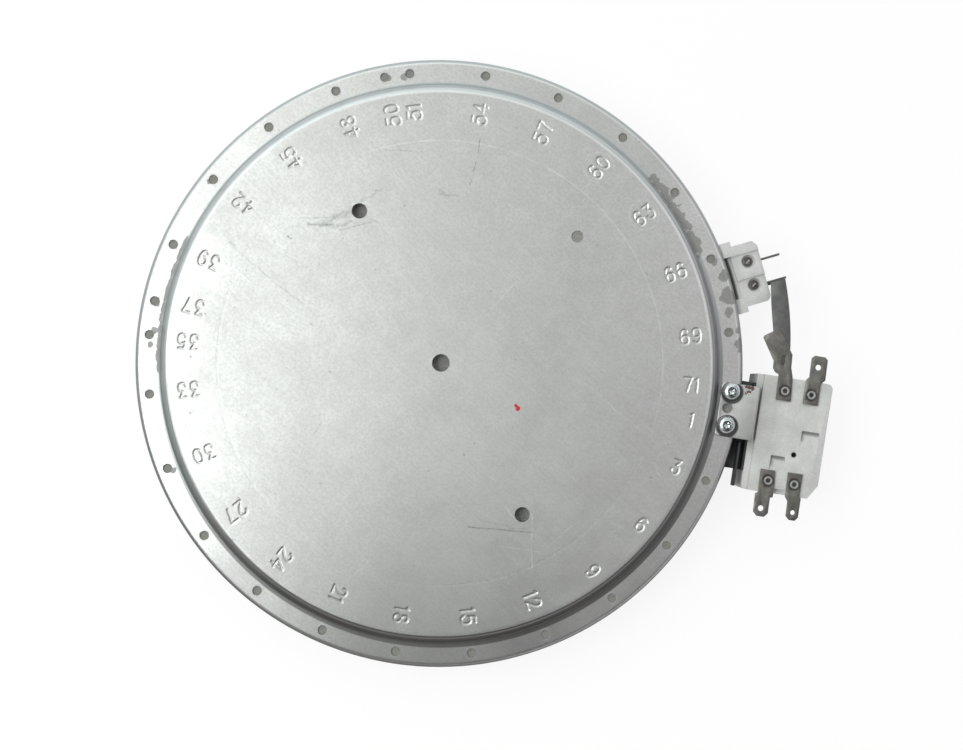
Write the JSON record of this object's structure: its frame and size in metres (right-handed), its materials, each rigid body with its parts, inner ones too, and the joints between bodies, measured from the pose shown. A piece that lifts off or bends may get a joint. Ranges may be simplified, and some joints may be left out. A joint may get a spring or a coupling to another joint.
{
  "type": "radiant surface element",
  "caption": "Round ribbon radiant heating element for a glass cooktop, shown face down, with stamped steel pan, ceramic terminal block and rod-type temperature limiter.",
  "frame": {"origin": "on the pan's axis, in the plane of the insulating ring's face, which presses on the glass", "axes": "+Z away from the glass, out of the stamped base plate; +X along the limiter's rod towards its ceramic head; +Y towards the terminal block's side"},
  "size_m": [0.2641, 0.23, 0.0285],
  "materials": {
    "aluminised_sheet": "satin, aluminised deep-drawn sheet with grey oxide bloom",
    "vermiculite": "matt pressed vermiculite, flecked",
    "microporous": "matt pressed microporous insulation",
    "resistance_strip": "dull oxidised alloy strip",
    "steatite": "matt unglazed ceramic",
    "plated_tab": "dull nickel-plated strip",
    "oxidised_strip": "dark heat-tinted strip",
    "dark_steel": "dark oxidised steel",
    "bracket_steel": "plated steel, a rusty corner",
    "bright_screw": "bright zinc plated",
    "quartz": "clear drawn quartz tube",
    "rod_alloy": "drawn alloy rod",
    "leaf_alloy": "rolled spring strip",
    "contact_silver": "turned silver contact"
  },
  "bodies": {
    "root": {"base_pan": "aluminised_sheet", "insulation_ring": "vermiculite", "insulation_base": "microporous", "heating_ribbon": "resistance_strip", "terminal_block": "steatite", "terminal_screws": "plated_tab", "free_blade": "plated_tab", "bridged_blade": "oxidised_strip", "bridge_strip": "oxidised_strip", "limiter_head": "steatite", "limiter_cover": "steatite", "limiter_rivets": "plated_tab", "main_leaf": "leaf_alloy", "signal_leaf": "leaf_alloy", "main_contact": "leaf_alloy", "signal_contact": "leaf_alloy", "contact_buttons": "contact_silver", "adjusting_screw": "rod_alloy", "transfer_pin": "steatite", "signal_pin": "steatite", "limiter_tube": "quartz", "limiter_rod": "rod_alloy", "rod_tip": "rod_alloy", "limiter_plate": "dark_steel", "earth_tab": "dark_steel", "limiter_bracket": "bracket_steel", "bracket_screws": "bright_screw", "bridged_tab": "plated_tab", "feed_tab": "plated_tab", "supply_tab": "plated_tab", "signal_tab": "plated_tab"}
  },
  "joints": []
}
